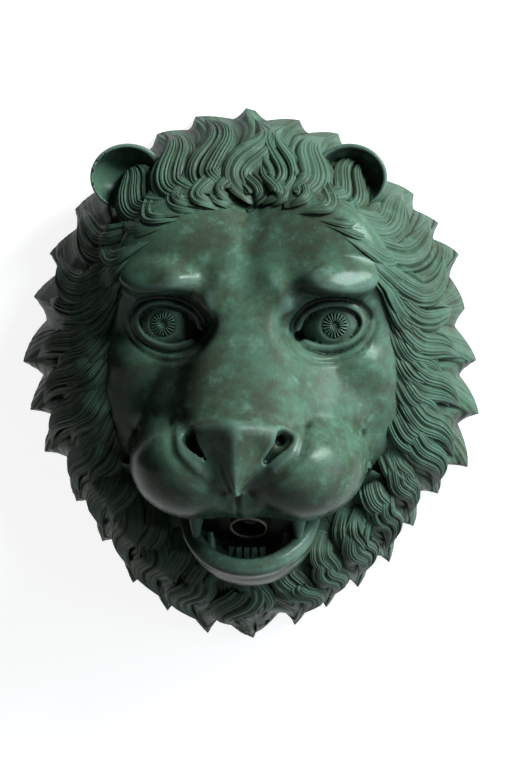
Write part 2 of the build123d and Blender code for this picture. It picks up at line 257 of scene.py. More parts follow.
def carve(rough, fine, low, high, step):
    """A part with a field's surface: a net of the rough field, divided once and settled on the fine one."""
    verts, quads = surface_net(rough, low, high, step)
    verts = settle(verts, quads, rough, rounds=2, ease=0.5)
    verts, quads = subdivide(verts, quads)
    verts = settle(verts, quads, fine, rounds=3, ease=0.4)
    verts = settle(verts, quads, fine, rounds=1, ease=0)
    return verts, quads, [], cavity(verts, quads)


# Face: centre, half sizes and soft seam of each mass, with paired masses on the right and mirrored

nose_x = -4
face_half_width, face_half_height = 138, 180
brow_square, chin_square = 2.7, 2.0
face_spread, face_edge_scale, face_edge_seam = 1.1, 150, 12
face_back, face_foot = 70, -114

skull = (0, 30, 40), (148, 102, 168)
temples = (96, 46, 40), (62, 64, 132), 18
cheeks = (90, 58, -4), (64, 64, 90), 20
forehead = (57, 82, 116), (78, 55, 84), 18
forehead_fold = 26
cheekbones = (97, 96, 24), (32, 27, 22), 14
muzzle = (0, 120, -48), (68, 84, 54), 16
upper_lip = (nose_x, 140, -82), (60, 48, 32), 12
pads = (47, 126, -62), (64, 86, 55), 9

brows, brow_lean, brow_seam = ((79, 104, 107), (46, 55, 23)), -2, 7
brow_front_at, brow_front_way = (83, 150, 112), (0.36, 0.84, 0.4)

bridge_top, bridge_foot = (0, 104, 112), (nose_x, 156, -16)
bridge_radii, bridge_spread = (36, 48), 1.2
bridge_front, bridge_slope, bridge_slant = 139, 0.49, 0.9
bridge_edge, bridge_seam = 20, 22
snout_side, snout_seam = ((48, 100, 34), (56, 124, -42), 30, 49), 26
lip_middle, lip_middle_seam = ((nose_x, 172, -60), (nose_x + 2, 170, -88), 18, 18), 10

eye_at, eye_ball = (77, 89, 65), 38.5
eye_socket = (73, 149, 65), (42, 34, 26), 13
lid_at, lid_thick, lid_edge, lid_seam = (77, 90, 68), 3.6, 4, 7
lid_tilt = math.radians(9)
slit_at, slit_half, slit_up, slit_down = (76.5, 65), 26, 16, 17
slit_scale, slit_play, slit_from, slit_seam = 15, 1.0, 100, 2
duct_in, duct_down, duct_span = 20, 3, 14
duct_run, duct_drop, duct_radius, duct_taper, duct_seam = 12, 3, 5.5, 4.5, 5

nose_tilt, nose_depth, nose_height = math.radians(5), 205, -42
nose_foot, nose_top, nose_half, nose_back = 38, 32, 50, 46
nose_foot_half, nose_spread, nose_rise, nose_most_rise = 4, 45, 50, 1.3
nose_side_slant, nose_side_seam, nose_top_arch = 0.7, 18, 0.006
nose_front, nose_front_slant, nose_front_seam, nose_seam = 16, 0.88, 13, 9
keel_soft, keel_start, keel_fall = 20, 4.5, 0.42
dish_depth, dish_at, dish_size = 5, (20, -4), (11, 18)
# Start, end, radius at each and soft edge
nostrils = (
    ((43, 199, -29), (28, 201, -48), 8, 4.5, 4),
    ((42, 200, -29), (38, 190, -33), 6, 4.5, 3),
)

mouth = (0, 150, -132), (54, 70, 20), 6
wall, hollow_seam = 10, 2
solid_eyes = (62, 110, 66), (60, 58, 44)
solid_nose = (nose_x, 186, -36), (62, 40, 40)
feed_end, pipe_bend, pipe_end = (0, 0, -89), (0, 87, -89), (0, 130, -132)
feed_room, spout_room = 21, 22

# Carving: height, width and line of each stroke in the front view
carving_from, carving_fade = 84, 12
forehead_groove = -3.0, 12, ((0, 96), (0, 178))
frown_ridge = 2.6, 9, ((24, 110), (31, 96), (39, 82))
cheek_groove = -3.0, 9, ((64, -16), (86, -20), (104, -36))
philtrum = -3.2, 2.2, ((0, -84), (0, -106))
wing_groove = -1.8, 5, ((62, -22), (57, -42), (38, -62), (14, -80))
wing_ridge = 1.6, 5, ((54, -28), (49, -42), (34, -55))
# Side of the slit, half width, half height and depth of each fold of the lids
lid_folds = (("above", 36, 25, 2.8), ("below", 34, 26, 1.7), ("below", 41, 34, 1.2))
fold_width, fold_fade = 2.4, 8
fold_above_from, fold_below_from = -6, 2
iris_at = (80, 65)
iris_groove, iris_groove_width, iris_groove_depth = 12.3, 0.9, 1.1
iris_bed, iris_bed_depth = 11, 3.0
on_ball_from = -0.5


def eye_plane(m):
    """Across and up from the middle of the right eye's opening, along its slant."""
    x, z = m[:, 0] - slit_at[0], m[:, 2] - slit_at[1]
    c, s = math.cos(lid_tilt), math.sin(lid_tilt)
    return x * c + z * s, z * c - x * s


def eye_opening(m, more=0.0):
    """The opening between the lids, with the tear duct at its inner corner."""
    u, v = eye_plane(m)
    tall = np.where(v > 0, slit_up, slit_down) + more
    slit = (np.sqrt(np.square(u / (slit_half + more)) + np.square(v / tall)) - 1) * slit_scale
    t = np.clip((-duct_in - u) / duct_span, 0, 1)
    duct = np.hypot(u + duct_in + duct_run * t, v + duct_down + duct_drop * t)
    duct = duct - (duct_radius - duct_taper * t) - more
    return smooth_min(slit, duct, duct_seam)


def nose_side(p):
    """Mirrored across the nose, which stands a little to the left of the middle."""
    m = p.copy()
    m[:, 0] = np.abs(m[:, 0] - nose_x)
    return m


def nose_pad(m):
    """The keeled front of the nose, broad at the top and narrow above the lip."""
    d, z = m[:, 1] - nose_depth, m[:, 2] - nose_height
    n = d * math.cos(nose_tilt) - z * math.sin(nose_tilt)
    w = d * math.sin(nose_tilt) + z * math.cos(nose_tilt)
    x = m[:, 0]
    rise = np.clip((w + nose_foot) / nose_rise, 0, nose_most_rise)
    side = (x - nose_foot_half - nose_spread * rise ** 1.5) * nose_side_slant
    f = smooth_max(side, x - nose_half, nose_side_seam)
    f = smooth_max(f, w - nose_top + nose_top_arch * x * x, nose_side_seam)
    keel = np.sqrt(x * x + keel_soft) - keel_start
    dish_x, dish_w = (x - dish_at[0]) / dish_size[0], (w - dish_at[1]) / dish_size[1]
    dish = dish_depth * np.exp(-np.square(dish_x) - np.square(dish_w))
    f = smooth_max(f, (n - nose_front + keel_fall * keel + dish) * nose_front_slant, nose_front_seam)
    f = np.maximum(f, -w - nose_foot)
    return np.maximum(f, -n - nose_back)


def within_face(x, z):
    """0 in the middle of the face and 1 on its edge, which is squarer at the brow than at the chin."""
    power = np.where(z > 0, brow_square, chin_square)
    return (np.abs(x / face_half_width) ** power + np.abs(z / face_half_height) ** power) ** (1 / power)


def face_edge(b):
    """How far the face's edge lies from the middle at bearing b."""
    return 1 / within_face(np.sin(np.radians(b)), np.cos(np.radians(b)))


def face_base(p):
    """The head without its eyes, nose pad, mouth and hollow."""
    m = mirrored(p)
    f = ellipsoid(p, *skull)
    f = swell(f, m, *temples)
    f = swell(f, m, *cheeks)
    f = swell(f, softened(p, forehead_fold), *forehead)
    brow = leaning(m, *brows, brow_lean)
    brow = smooth_max(brow, beyond(m, brow_front_at, brow_front_way), brow_seam)
    f = smooth_min(f, brow, brow_seam)
    bridge = cone(p, bridge_top, bridge_foot, *bridge_radii, bridge_spread)
    front = p[:, 1] - bridge_front - bridge_slope * (bridge_top[2] - p[:, 2])
    bridge = smooth_max(bridge, front * bridge_slant, bridge_edge)
    f = smooth_min(f, bridge, bridge_seam)
    f = smooth_min(f, cone(m, *snout_side), snout_seam)
    f = swell(f, m, *cheekbones)
    f = swell(f, p, *muzzle)
    f = swell(f, p, *upper_lip)
    f = smooth_min(f, cone(p, *lip_middle), lip_middle_seam)
    f = swell(f, m, *pads)
    edge = (within_face(p[:, 0] / face_spread, p[:, 2] / face_spread) - 1) * face_edge_scale
    return smooth_max(f, edge, face_edge_seam)


def face_rough(p):
    """The head with its eyes, nose pad, mouth and hollow, before the carving."""
    m = mirrored(p)
    q = nose_side(p)
    base = face_base(p)
    f = scoop(base, m, *eye_socket)
    lid = ellipsoid(m, lid_at, (eye_ball + lid_thick,) * 3)
    lid = smooth_max(lid, -eye_opening(m), lid_edge)
    f = smooth_min(f, lid, lid_seam)
    f = smooth_max(f, -np.maximum(eye_opening(m, slit_play), slit_from - m[:, 1]), slit_seam)
    f = np.minimum(f, ellipsoid(m, eye_at, (eye_ball,) * 3))
    f = smooth_min(f, nose_pad(q), nose_seam)
    for start, end, wide, narrow, seam in nostrils:
        f = smooth_max(f, -cone(q, start, end, wide, narrow), seam)
    f = scoop(f, p, *mouth)
    pipe = np.minimum(
        cone(p, feed_end, pipe_bend, feed_room, feed_room),
        cone(p, pipe_bend, pipe_end, spout_room, spout_room),
    )
    inside = np.maximum(base + wall, -ellipsoid(m, *solid_eyes))
    inside = np.maximum(inside, -ellipsoid(p, *solid_nose))
    f = smooth_max(f, -np.minimum(inside, pipe), hollow_seam)
    f = np.maximum(f, face_foot - p[:, 2])
    return np.maximum(f, face_back - p[:, 1])


def face_fine(p):
    """The head with its carving: grooves, ridges, lid folds and the beds of the irises."""
    m = mirrored(p)
    q = nose_side(p)
    front = np.clip((p[:, 1] - carving_from) / carving_fade, 0, 1)
    raised = stroke(m, *forehead_groove)
    u, v = eye_plane(m)
    sides = {
        "above": np.clip((v - fold_above_from) / fold_fade, 0, 1),
        "below": np.clip((fold_below_from - v) / fold_fade, 0, 1),
    }
    for side, wide, tall, depth in lid_folds:
        off = (np.sqrt(np.square(u / wide) + np.square(v / tall)) - 1) * tall
        raised -= depth * sides[side] * np.exp(-np.square(off / fold_width))
    raised += stroke(m, *frown_ridge)
    raised += stroke(m, *cheek_groove)
    r = np.hypot(m[:, 0] - iris_at[0], m[:, 2] - iris_at[1])
    ring = np.exp(-(((r - iris_groove) / iris_groove_width) ** 2))
    iris = -iris_groove_depth * ring - iris_bed_depth * (r < iris_bed)
    on_ball = (eye_opening(m) < on_ball_from) * front
    raised = np.where(on_ball > 0.5, iris, raised)
    raised += stroke(q, *philtrum)
    raised += stroke(q, *wing_groove)
    raised += stroke(q, *wing_ridge)
    return face_rough(p) - raised * front


# Iris: a disc with rings of points and spokes, its radii from the pupil's middle

iris_rings, iris_spokes = 16, 160
iris_inner, iris_outer, iris_sink = 0.2, 12.4, 0.4
ray_count, ray_height = 20, 0.9
ray_from, ray_from_fade, ray_to, ray_to_fade = 3, 2, 11.8, 0.8
pupil_depth, pupil_radius = 6, 2.8
rim_from, rim_fall = 11.9, 4


def ring_quads(rows, n):
    """Quads between rows of n points that close on themselves."""
    i, j = np.meshgrid(np.arange(rows - 1), np.arange(n), indexing="ij")
    k = (j + 1) % n
    return np.stack([i * n + j, i * n + k, (i + 1) * n + k, (i + 1) * n + j], -1).reshape(-1, 4)


def iris_disc(side):
    """A carved disc on the eyeball of one side: fine rays, a falling edge and a deep pupil."""
    r = np.linspace(iris_inner, iris_outer, iris_rings)
    turn = np.linspace(0, 2 * math.pi, iris_spokes, endpoint=False)
    rr, tt = np.meshgrid(r, turn, indexing="ij")
    x = iris_at[0] - eye_at[0] + rr * np.cos(tt)
    z = iris_at[1] - eye_at[2] + rr * np.sin(tt)
    fade_in = np.clip((rr - ray_from) / ray_from_fade, 0, 1)
    fade_out = np.clip((ray_to - rr) / ray_to_fade, 0, 1)
    rays = np.cos(ray_count * tt) * fade_in * fade_out
    pupil = pupil_depth * np.exp(-((rr / pupil_radius) ** 2))
    height = ray_height * rays - pupil - rim_fall * np.clip(rr - rim_from, 0, 1) - iris_sink
    d = np.sqrt(eye_ball ** 2 - x * x - z * z) + height
    ring = np.stack([side * (eye_at[0] + x), eye_at[1] + d, eye_at[2] + z], -1)
    quads = ring_quads(iris_rings, iris_spokes)[:, ::side]
    cap = np.arange(iris_spokes)[::-side]
    # The grooves between the rays are painted dark, as patina and painted shade; their crests come out pale
    # as wear.
    return ring.reshape(-1, 3), quads, [cap], np.clip(0.55 - 0.45 * rays, 0, 1).reshape(-1)


# Jaw

jaw_bowl = (0, 104, -124), (64, 76, 62)
jaw_slope, lip_depth, lip_height = math.radians(38), 120, -124
lip_edge, lip_inset, lip_drop, lip_radius, lip_seam = 4, 6, 1, 8, 6
jaw_bed, bed_from, bed_seam = ((0, 104, -120), (50, 60, 48)), 104, 5
jaw_gum, gum_from, gum_seam = ((0, 104, -120), (45, 54, 47)), 112, 6
gum_drop, gum_radius = 20, 7
jaw_hollow, jaw_hollow_to, jaw_hollow_seam = ((0, 70, -124), (54, 28, 46)), 97, 4


def jaw_field(p):
    """The lower jaw: a bowl cut along the slope of its lip, with a gum inside and hollow behind."""
    bowl = ellipsoid(p, *jaw_bowl)
    level = (p[:, 2] - lip_height) * math.cos(jaw_slope) + (p[:, 1] - lip_depth) * math.sin(jaw_slope)
    f = smooth_max(bowl, level, lip_edge)
    lip = np.sqrt(np.square(bowl + lip_inset) + np.square(level + lip_drop)) - lip_radius
    f = smooth_min(f, lip, lip_seam)
    f = smooth_max(f, -np.maximum(ellipsoid(p, *jaw_bed), bed_from - p[:, 1]), bed_seam)
    gum = np.sqrt(np.square(ellipsoid(p, *jaw_gum)) + np.square(level + gum_drop)) - gum_radius
    f = smooth_min(f, np.maximum(gum, gum_from - p[:, 1]), gum_seam)
    f = smooth_max(f, -np.maximum(ellipsoid(p, *jaw_hollow), p[:, 1] - jaw_hollow_to), jaw_hollow_seam)
    return np.maximum(f, face_back - p[:, 1])


# Ears: name, place across and up, and the way that each cup opens

ears = (
    ("left_ear", -121, 199, (0.35, 1, -0.1)),
    ("right_ear", 90, 199, (0, 0.95, 0.05)),
)
ear_depth, ear_radii = 66, (36, 34, 32)
cup_depth, cup_radii = 74, (32, 25, 28)
ear_cut, ear_seam = 6, 3


def ear_field(x, z, opening):
    """A cupped ear, cut off on a plane across the way that it opens."""
    way = np.array(opening) / np.linalg.norm(opening)

    def field(p):
        f = ellipsoid(p, (x, ear_depth, z), ear_radii)
        f = scoop(f, p, (x, cup_depth, z), cup_radii, ear_seam)
        lid = (p - np.array((x, ear_depth, z))) @ way - ear_cut
        return smooth_max(f, lid, ear_seam)

    return field


# Mane: bearings run clockwise from the top, and shares from 0 at the face's edge to 1 at the rim

# Bearing and reach of each tip
tips = np.array((
    (-2, 265), (8, 256), (17, 252), (28, 242), (39, 236), (48, 233), (57, 231), (70, 214),
    (84, 215), (98, 220), (112, 225), (122, 212), (133, 214), (144, 227), (154, 234), (163, 243),
    (171, 255), (182, 267), (192, 268), (202, 258), (212, 248), (224, 233), (236, 226), (251, 231),
    (262, 234), (274, 238), (290, 239), (301, 242), (313, 247), (327, 254), (338, 260), (347, 264),
), float)
all_tips = np.concatenate([tips - (360, 0), tips, tips + (360, 0)])
tip_number = np.arange(len(all_tips))
dome_share = np.array((-0.5, -0.3, -0.1, 0.0, 0.2, 0.36, 0.6, 0.72, 0.9, 1.0))
dome_depth = np.array((126, 114, 99, 94, 88, 81, 61, 47, 25, 9), float)
crown_push, beard_depth = 0.3, 94

# How locks run at each bearing from the top: turn at the root, dip and curl on the way, in degrees
flow_at = np.array((0, 30, 55, 80, 110, 150, 180), float)
flow_turn = np.array((2, 9, 12, 24, 24, 18, 0), float)
flow_dip = np.array((0, 3, 9, 2, 0, 0, 0), float)
flow_curl = np.array((3, 3, 0, 2.5, 3, 3.5, 4), float)

# Where the hair lies on the face and how it leaves it
face_front, face_least, face_steps, face_stride = 240.0, 60, 14, 0.8
hairline_share, lip_line, lip_fade = -0.03, -100, 30
hold_to, hold_span, hold_least, hold_most = 0.4, 0.5, -14, 40

# Strands: depth and place of the cuts, drawn once and used in turn
strand_kinds, strand_cut_width = 97, 0.17
strand_stride, seed_stride, strand_seeds = 7, 13, 50
strand_depth = rng.uniform(0.35, 1.0, strand_kinds)
strand_place = rng.uniform(0.25, 0.75, strand_kinds)
tip_depth = rng.uniform(0.8, 1.2, len(tips))


def around(b):
    """The bearing from the top, 0 to 180, and the side, 1 on the right and -1 on the left."""
    b = np.mod(b + 180, 360) - 180
    return np.abs(b), np.where(b < 0, -1.0, 1.0)


def bend(b, t, more=1.0):
    """How far a lock that ends at bearing b lies from it at t, from root 0 to tip 1."""
    beta, side = around(b)
    turn, dip, curl = (np.interp(beta, flow_at, v) for v in (flow_turn, flow_dip, flow_curl))
    return side * more * (-turn * (1 - t) ** 1.4 + dip * np.sin(np.pi * t) + curl * np.sin(2 * np.pi * t))


def reach_at(b):
    return np.interp(np.mod(b, 360), all_tips[:, 0], all_tips[:, 1])


def dome(share, b):
    """Depth of the mane's plain form, which is pushed forward at the crown."""
    push = crown_push * np.clip(np.cos(np.radians(b)), 0, 1) ** 1.5
    depth = np.interp(share - push * (1 - share), dome_share, dome_depth)
    return np.where(np.cos(np.radians(b)) < 0, np.minimum(depth, beard_depth), depth)


def face_depth(x, z):
    """Depth of the face's surface in the front view, by stepping in from the front."""
    p = np.stack([np.ravel(x), np.full(np.size(x), face_front), np.ravel(z)], 1)
    for _ in range(face_steps):
        p[:, 1] = np.maximum(p[:, 1] - face_stride * face_base(p), face_least)
    return p[:, 1].reshape(np.shape(x))


def polar(b, share, reach):
    """Across and up at a bearing, a share of the way from the face's edge to the reach."""
    e = face_edge(b)
    r = e + (reach - e) * share
    return r * np.sin(np.radians(b)), r * np.cos(np.radians(b))


def hair_depth(share, b):
    """Depth of the hair: level with the face at its edge, then falling to the mane's dome."""
    within = np.minimum(share, hairline_share)
    x, z = polar(b, within, reach_at(b))
    above_lip = np.clip((z - lip_line) / lip_fade, 0, 1)
    keep = np.clip((hold_to - share) / hold_span, 0, 1) * above_lip
    low = dome(share, b)
    return low + np.clip(face_depth(x, z) - low, hold_least, hold_most) * keep * keep * (3 - 2 * keep)


def tube(ring, hollow):
    """Joins rows of points into a part with a closed skin."""
    along, n = ring.shape[:2]
    ends = [np.arange(n)[::-1], (along - 1) * n + np.arange(n)]
    return ring.reshape(-1, 3), ring_quads(along, n), ends, hollow.reshape(-1)


def comb(q, seed):
    """Cuts between strands of uneven depth and place, one for each whole number in q, at most 1 deep."""
    at = np.floor(q).astype(int)
    k = np.mod(at * strand_stride + seed * seed_stride, strand_kinds)
    off = (q - at - strand_place[k]) / strand_cut_width
    return strand_depth[k] * np.exp(-off * off)


# Locks: t runs along a lock from 0 at its root to 1 at its tip, and c across it from -1 to 1

lock_rows, lock_columns = 46, 61
tip_sink, root_sink, root_length = 1.5, 3, 0.3
slope_probe, steepest_fall, steepest_rise = 0.05, -1.3, 0.3
arch_start, arch_span = 0.01, 0.95
root_width, taper_from, least_width = 0.62, 0.55, 0.6
rise_length, rise_least, rise_by_width = 0.25, 0.05, 1.6
coarse_share, fine_depth = 3.4, 0.6
deepest_cut, cut_by_width, cut_within = 3.4, 0.24, 0.95
under_at, under_share, under_most = np.array((0.6, 0, -0.6)), np.array((0.5, 1, 0.5)), 7
edge_from, edge_shade = 0.75, 0.8
roll_range, sway_range, wave_range, drift = (0.05, 0.22), (0.05, 0.25), (0.7, 1.3), 0.5


def unit(v):
    return v / np.linalg.norm(v, axis=1)[:, None]


def lock(b1, start, end, width, height, lift, strands, more):
    """A closed lock of hair that ends at bearing b1 and runs from share start to end."""
    t = np.linspace(0, 1, lock_rows)
    share = start + (end - start) * t
    b = b1 + bend(b1, t, more)
    x, z = polar(b, share, reach_at(b))
    sunk = tip_sink + root_sink * (1 - np.clip(t / root_length, 0, 1))
    d = hair_depth(share, b) - sunk + lift * np.sin(np.pi * (t * arch_span + arch_start)) ** 1.2
    spine = np.stack([x, d, z], 1)
    for _ in range(2):
        spine[1:-1] = (spine[:-2] + 2 * spine[1:-1] + spine[2:]) / 4
    ahead = unit(np.gradient(spine, axis=0))
    out = np.stack([np.sin(np.radians(b)), 0 * b, np.cos(np.radians(b))], 1)
    fall = dome(share + slope_probe, b) - dome(share - slope_probe, b)
    slope = fall / (2 * slope_probe * (reach_at(b) - face_edge(b)))
    up = np.array((0, 1.0, 0)) - np.clip(slope, steepest_fall, steepest_rise)[:, None] * out
    side = unit(np.cross(ahead, up))
    up = np.cross(side, ahead)
    belly = root_width + (1 - root_width) * np.sin(np.pi * t ** 0.75)
    taper = 1 - np.clip((t - taper_from) / (1 - taper_from), 0, 1) ** 2.6
    w = np.maximum(width * belly * taper, least_width)
    rise = np.clip(t / rise_length, rise_least, 1) * np.minimum(1, w / width * rise_by_width)
    c = np.linspace(-1, 1, lock_columns)
    crown = (1 - np.abs(c) ** 3) ** 0.6
    roll = rng.uniform(*roll_range) * rng.choice((-1, 1))
    sway = rng.uniform(*sway_range)
    wave = np.sin(2 * np.pi * (rng.uniform(*wave_range) * t + rng.uniform(0, 1)))
    slip = (rng.uniform(-drift, drift) * t + sway * wave)[:, None]
    fine = comb(strands * (c[None] + 1) / 2 + slip, rng.integers(0, strand_seeds))
    in_coarse = strands / coarse_share * (c[None] + 1) / 2 + slip / coarse_share
    coarse = comb(in_coarse, rng.integers(0, strand_seeds))
    cut = np.maximum(fine_depth * fine, coarse)
    deep = np.minimum(deepest_cut, cut_by_width * w)[:, None] * cut * (np.abs(c) < cut_within)
    tilt = (roll * w * rise)[:, None]
    top = (height * rise)[:, None] * crown + tilt * c - deep * rise[:, None]
    under = -np.minimum(under_most, w)[:, None] * under_share + tilt * under_at
    sideways = (w[:, None] * np.concatenate([c, under_at]))[..., None]
    lifted = np.concatenate([top, under], 1)[..., None]
    ring = spine[:, None] + side[:, None] * sideways + up[:, None] * lifted
    # Painted shade: the lock's sides and its whole underside count as hollow, so the patina paints them
    # dark.
    edge = np.clip((np.abs(c) - edge_from) / (1 - edge_from), 0, 1)
    below = np.ones((lock_rows, len(under_at)))
    return tube(ring, np.concatenate([np.maximum(cut, edge_shade * edge), below], 1))


# Shell under the locks: each tuft has a tip, a long slope before it and a short one behind

rows_per_degree = 4
shell_start = -0.06
shell_shares = (np.linspace(shell_start, 0.86, 44), np.linspace(0.88, 1.0, 9))
jaw_from, jaw_fade, jaw_stretch, jaw_share = 98, 24, 1.6, 0.2
tuft_before, tuft_behind, tuft_shift = 0.64, 0.36, 0.14
notch_at, notch_depth, notch_from = (0, 40, 75, 100, 180), (8, 10, 16, 20, 20), 0.3
hook_degrees, hook_from = 0.8, 0.7
pleat_height, pleat_cut, shell_sink, shell_fade = 7, 4.2, 5, 0.2
fine_cuts, fine_cut_depth, coarse_cuts, coarse_seed = 8, 0.7, 3, 5
pad_to, pad_fade, pad_dive, dive_span = 116, 16, 28, 0.12
rim_share, rim_depth = 0.97, 12
inner_shares, inner_inset, inner_drop, inner_shift = np.linspace(0.8, -0.1, 8), 24, 18, 0.1
shell_hollow = 0.6


def in_tuft(number):
    """Where a place lies in its tuft: 0 on the tip, below 0 before it and above 0 behind it."""
    return np.mod(number + tuft_before, 1) - tuft_before


def base_shell(low, high):
    """The body of a section: a pleated skin with notched tips, an edge on the wall and an inner skin."""
    b = np.linspace(low, high, int((high - low) * rows_per_degree) + 1)
    bb, ss = np.meshgrid(b, np.concatenate(shell_shares), indexing="ij")
    beta = around(bb)[0]
    under_jaw = np.clip((beta - jaw_from) / jaw_fade, 0, 1)
    ss = np.where(ss < jaw_share, jaw_share - (jaw_share - ss) * (1 + jaw_stretch * under_jaw), ss)
    t = np.clip(ss, 0, 1)
    tip = bb - bend(bb, t)
    tip = bb - bend(tip, t)
    number = np.interp(tip, all_tips[:, 0], tip_number)
    side = np.where(np.mod(bb, 360) > 180, -1, 1)
    at_rim = in_tuft(np.interp(bb, all_tips[:, 0], tip_number) * side)
    before, behind = np.abs(at_rim / tuft_before) ** 1.4, 1 - np.abs(1 - at_rim / tuft_behind) ** 1.6
    fall = np.where(at_rim < 0, before, behind)
    notch = np.interp(beta, notch_at, notch_depth) * np.interp(number, tip_number, np.tile(tip_depth, 3))
    reach = reach_at(bb) - notch * fall * np.clip((ss - notch_from) / (1 - notch_from), 0, 1)
    hook = hook_degrees * (1 - fall) * np.clip((ss - hook_from) / (1 - hook_from), 0, 1) ** 2
    x, z = polar(bb + side * hook, ss, reach)
    mid = np.mod(in_tuft(number * side) + tuft_shift + 0.5, 1) - 0.5
    bulge = (1 - np.abs(2 * mid) ** 2.5) ** 0.7
    tuft = np.floor(number * side + tuft_before).astype(int)
    fine = fine_cut_depth * comb(fine_cuts * (mid + 0.5), tuft)
    cut = np.maximum(fine, comb(coarse_cuts * (mid + 0.5), tuft + coarse_seed))
    fade = np.clip((ss - shell_start) / shell_fade, 0, 1)
    beside_pad = 1 - np.clip((beta - pad_to) / pad_fade, 0, 1)
    dive = pad_dive * np.clip((shell_start - ss) / dive_span, 0, 1) * beside_pad
    top = hair_depth(ss, bb) - shell_sink - dive + fade * (pleat_height * bulge - pleat_cut * cut)
    top = np.where(ss > rim_share, np.minimum(top, rim_depth), top)
    skin_rows = np.stack([x, top, z], -1)
    rim = np.stack([x[:, -1:], 0 * x[:, -1:], z[:, -1:]], -1)
    bi, si = np.meshgrid(b, inner_shares, indexing="ij")
    xi, zi = polar(bi, si, reach_at(bi) - inner_inset)
    inner = np.stack([xi, np.maximum(dome(si + inner_shift, bi) - inner_drop, 0), zi], -1)
    inner[:, 0, 1] = 0
    ring = np.concatenate([skin_rows, rim, inner], 1)[::-1]
    rest = np.full((len(b), ring.shape[1] - cut.shape[1]), shell_hollow)
    # Dark patina and painted shade in the creases between tufts, where the pleat's bulge falls away.
    return tube(ring, np.concatenate([np.maximum(cut, 1 - bulge), rest], 1)[::-1])


# Materials

def new_material(name):
    material = bpy.data.materials.new(name)
    material.use_nodes = True
    tree = material.node_tree
    return material, tree, tree.nodes["Principled BSDF"]


def feed(tree, socket, value):
    """Links a socket to another node's output, or sets it to a constant."""
    if isinstance(value, bpy.types.NodeSocket):
        tree.links.new(value, socket)
    else:
        socket.default_value = value


def math_node(tree, operation, a, b):
    made = tree.nodes.new("ShaderNodeMath")
    made.operation = operation
    feed(tree, made.inputs[0], a)
    feed(tree, made.inputs[1], b)
    return made.outputs[0]


def times(tree, a, b):
    return math_node(tree, "MULTIPLY", a, b)


def plus(tree, a, b):
    return math_node(tree, "ADD", a, b)


def mix(tree, factor, a, b):
    """The colour a, which gives way to b as the factor rises."""
    made = tree.nodes.new("ShaderNodeMix")
    made.data_type = "RGBA"
    for index, value in ((0, factor), (6, a), (7, b)):
        feed(tree, made.inputs[index], value)
    return made.outputs[2]


def ranged(tree, value, low, high):
    """0 at low and 1 at high, with a smooth step between."""
    made = tree.nodes.new("ShaderNodeMapRange")
    made.interpolation_type = "SMOOTHSTEP"
    for socket, setting in zip(made.inputs, (value, low, high)):
        feed(tree, socket, setting)
    return made.outputs[0]


def noise(tree, where, scale, detail, rough=0.55):
    made = tree.nodes.new("ShaderNodeTexNoise")
    for name, value in (("Vector", where), ("Scale", scale), ("Detail", detail), ("Roughness", rough)):
        feed(tree, made.inputs[name], value)
    return made.outputs[0]


def measured(tree, operation, where, vector):
    """One number from each place and a fixed vector."""
    made = tree.nodes.new("ShaderNodeVectorMath")
    made.operation = operation
    feed(tree, made.inputs[0], where)
    feed(tree, made.inputs[1], vector)
    return made.outputs["Value"]


patch_scale, mottle_scale, speck_scale, cloud_scale = 14, 70, 700, 90
dusty_at, dusty_to, dusty_full = (0.02, -0.17, 0.02), 0.085, 0.03
bump_strength, bump_distance = 0.16, 0.0008
worn_rim_width = 0.0008


def patina(name, green, brown, deep, worn, gloss, sheen, metallic, dull=0.0):
    """Waxed patina: green over brown, dark in hollows as dark patina and painted shade, pale where worn,
    and dull on the bridge if asked.
    """
    material, tree, shader = new_material(name)
    where = tree.nodes.new("ShaderNodeTexCoord").outputs["Object"]
    attribute = tree.nodes.new("ShaderNodeAttribute")
    attribute.attribute_name = "hollow"
    hollow = attribute.outputs["Fac"]
    patch = noise(tree, where, patch_scale, detail=6, rough=0.6)
    mottle = noise(tree, where, mottle_scale, detail=5, rough=0.6)
    speck = noise(tree, where, speck_scale, detail=3)
    amount = plus(tree, times(tree, patch, 0.55), times(tree, mottle, 0.45))
    base = mix(tree, ranged(tree, amount, 0.4, 0.6), brown, green)
    base = mix(tree, times(tree, ranged(tree, mottle, 0.56, 0.72), 0.5), base, worn)
    # Dark patina and painted shade: the hollow value darkens grooves, creases, the mouth, the eye openings
    # and the sides and undersides of locks towards the deep colour.
    base = mix(tree, ranged(tree, hollow, 0.6, 0.95), base, deep)
    base = mix(tree, times(tree, ranged(tree, hollow, 0.42, 0.2), 0.4), base, worn)
    base = mix(tree, times(tree, ranged(tree, speck, 0.6, 0.7), 0.35), base, worn)
    feed(tree, shader.inputs["Base Color"], base)
    from_bridge = measured(tree, "DISTANCE", where, dusty_at)
    dusty = times(tree, ranged(tree, from_bridge, dusty_to, dusty_full), dull)
    rough = plus(tree, times(tree, mottle, 0.3), gloss)
    feed(tree, shader.inputs["Roughness"], plus(tree, rough, dusty))
    shader.inputs["Metallic"].default_value = metallic
    shader.inputs["Specular IOR Level"].default_value = sheen
    bump = tree.nodes.new("ShaderNodeBump")
    bump.inputs["Strength"].default_value = bump_strength
    bump.inputs["Distance"].default_value = bump_distance
    feed(tree, bump.inputs["Height"], plus(tree, speck, times(tree, mottle, 1.5)))
    feed(tree, shader.inputs["Normal"], bump.outputs[0])
    return material


def metal(name, colour, dull, metallic, gloss, rim=None):
    """A mottled metal or fibre, with a bright worn rim beyond a distance along a direction."""
    material, tree, shader = new_material(name)
    where = tree.nodes.new("ShaderNodeTexCoord").outputs["Object"]
    cloud = noise(tree, where, cloud_scale, detail=5)
    base = mix(tree, ranged(tree, cloud, 0.35, 0.65), dull, colour)
    if rim:
        way, start, bright = rim
        along = measured(tree, "DOT_PRODUCT", where, way)
        base = mix(tree, ranged(tree, along, start, start + worn_rim_width), base, bright)
    feed(tree, shader.inputs["Base Color"], base)
    feed(tree, shader.inputs["Roughness"], plus(tree, times(tree, cloud, 0.3), gloss))
    shader.inputs["Metallic"].default_value = metallic
    return material
